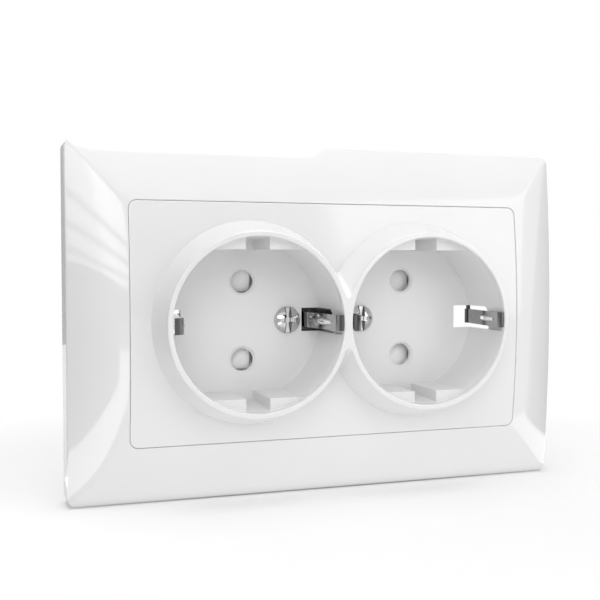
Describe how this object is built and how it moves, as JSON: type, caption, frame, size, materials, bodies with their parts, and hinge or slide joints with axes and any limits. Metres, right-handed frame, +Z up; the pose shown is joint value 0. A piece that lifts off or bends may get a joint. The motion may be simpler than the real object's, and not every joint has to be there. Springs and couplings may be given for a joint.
{
  "type": "double wall socket",
  "caption": "Double wall socket: white gloss frame of bowed, mitred bars round a panel with joined round plug wells, earth clips and shuttered pin holes, for one wall box.",
  "frame": {"origin": "centre of the wall box fixing, on the wall plane behind the middle of the frame", "axes": "+X to the right along the frame, +Z up, -Y out of the wall towards the user"},
  "size_m": [0.126, 0.045, 0.0848],
  "materials": {
    "white_gloss": "gloss moulded plastic",
    "shutter_white": "satin moulded plastic",
    "base_grey": "matt moulded plastic",
    "nickel": "bright nickel plate",
    "zinc_steel": "zinc-plated steel",
    "spring_steel": "drawn spring wire",
    "brass": "stamped brass strip"
  },
  "bodies": {
    "fixed": {"outer_frame": "white_gloss", "socket_face": "white_gloss", "face_screws": "nickel", "left_earth_bracket": "nickel", "right_earth_bracket": "nickel", "earth_bridge": "nickel", "earth_rivets": "nickel", "left_shutter_spring": "spring_steel", "right_shutter_spring": "spring_steel", "backing_springs": "spring_steel", "shutter_carrier": "base_grey", "base_housing": "base_grey", "mounting_strap": "zinc_steel", "strap_rivets": "zinc_steel", "cover_screws": "zinc_steel", "terminal_screws": "zinc_steel", "live_busbar": "brass", "neutral_busbar": "brass", "terminal_clamps": "brass"},
    "left_shutter": {"left_shutter": "shutter_white"},
    "right_shutter": {"right_shutter": "shutter_white"},
    "upper_claw": {"upper_claw": "zinc_steel"},
    "lower_claw": {"lower_claw": "zinc_steel"},
    "upper_claw_screw": {"upper_claw_screw": "zinc_steel"},
    "lower_claw_screw": {"lower_claw_screw": "zinc_steel"}
  },
  "joints": [
    {"name": "left_shutter_slide", "type": "slide", "parent": "fixed", "child": "left_shutter", "axis": [1, 0, 0], "range_m": [0, 0.006], "stiffness_N_per_m": 120, "springref_m": -0.004, "deforming": ["left_shutter_spring"]},
    {"name": "right_shutter_slide", "type": "slide", "parent": "fixed", "child": "right_shutter", "axis": [-1, 0, 0], "range_m": [0, 0.006], "stiffness_N_per_m": 120, "springref_m": -0.004, "deforming": ["right_shutter_spring"]},
    {"name": "upper_claw_screw_slide", "type": "slide", "parent": "fixed", "child": "upper_claw_screw", "axis": [0, 1, 0], "range_m": [0, 0.006]},
    {"name": "lower_claw_screw_slide", "type": "slide", "parent": "fixed", "child": "lower_claw_screw", "axis": [0, 1, 0], "range_m": [0, 0.006]},
    {"name": "upper_claw_hinge", "type": "hinge", "parent": "fixed", "child": "upper_claw", "pos_m": [0, 0.0022, 0.023], "axis": [1, 0, 0], "range_deg": [0, 22]},
    {"name": "lower_claw_hinge", "type": "hinge", "parent": "fixed", "child": "lower_claw", "pos_m": [0, 0.0022, -0.023], "axis": [-1, 0, 0], "range_deg": [0, 22]}
  ],
  "couplings": [
    {"joint": "upper_claw_hinge", "follows": "upper_claw_screw_slide", "rad_per_m": 63.9},
    {"joint": "lower_claw_hinge", "follows": "lower_claw_screw_slide", "rad_per_m": 63.9}
  ]
}
